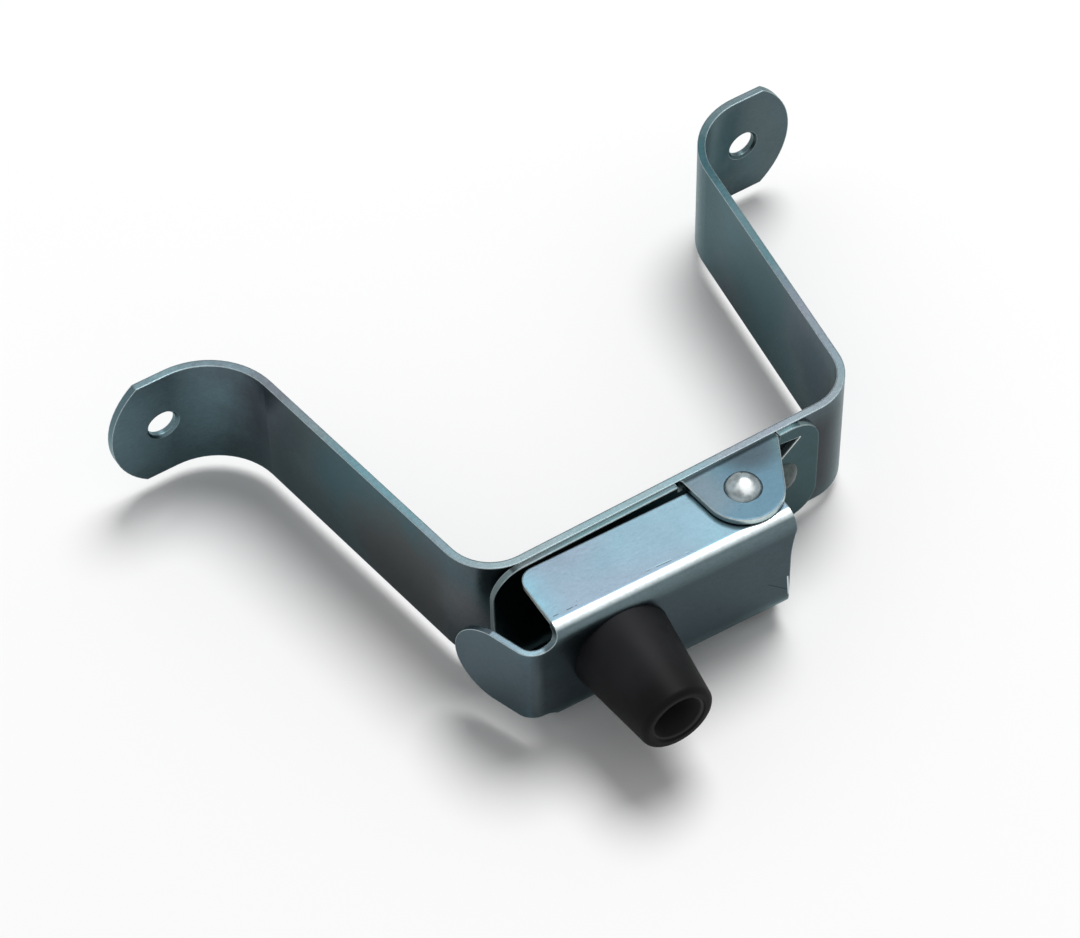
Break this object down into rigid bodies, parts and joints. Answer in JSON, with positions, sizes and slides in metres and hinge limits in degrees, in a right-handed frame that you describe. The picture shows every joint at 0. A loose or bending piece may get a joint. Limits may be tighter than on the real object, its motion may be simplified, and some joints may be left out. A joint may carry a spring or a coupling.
{
  "type": "door holder",
  "caption": "Kick-down door holder: a flanged lever with a rubber foot pivots between the ears of a plate riveted to a bent strip stand-off bracket.",
  "frame": {"origin": "midway between the two screw holes, on the door face that the bracket's feet lie against", "axes": "+X along the bracket, from the tongue's end of the lever to its pivot end; +Z across the strip's width, along the pivot; the door is on the +Y side and the holder stands out from it towards -Y"},
  "size_m": [0.1484, 0.1077, 0.032],
  "materials": {
    "bracket_steel": "satin blue zinc plating",
    "plate_steel": "satin blue zinc plating",
    "lever_steel": "satin blue zinc plating",
    "rivet_steel": "satin, warm grey",
    "foot_rubber": "matt black moulded rubber"
  },
  "bodies": {
    "base": {"stand_off_bracket": "bracket_steel", "base_plate": "plate_steel", "plate_rivet_left": "rivet_steel", "plate_rivet_right": "rivet_steel", "pivot_rivet": "rivet_steel"},
    "lever": {"lever": "lever_steel", "rubber_foot": "foot_rubber", "foot_washer": "rivet_steel", "foot_rivet": "rivet_steel"}
  },
  "joints": [
    {"name": "lever_pivot", "type": "hinge", "parent": "base", "child": "lever", "pos_m": [0.009, -0.0801, 0], "axis": [0, 0, 1], "range_deg": [0, 100]}
  ]
}
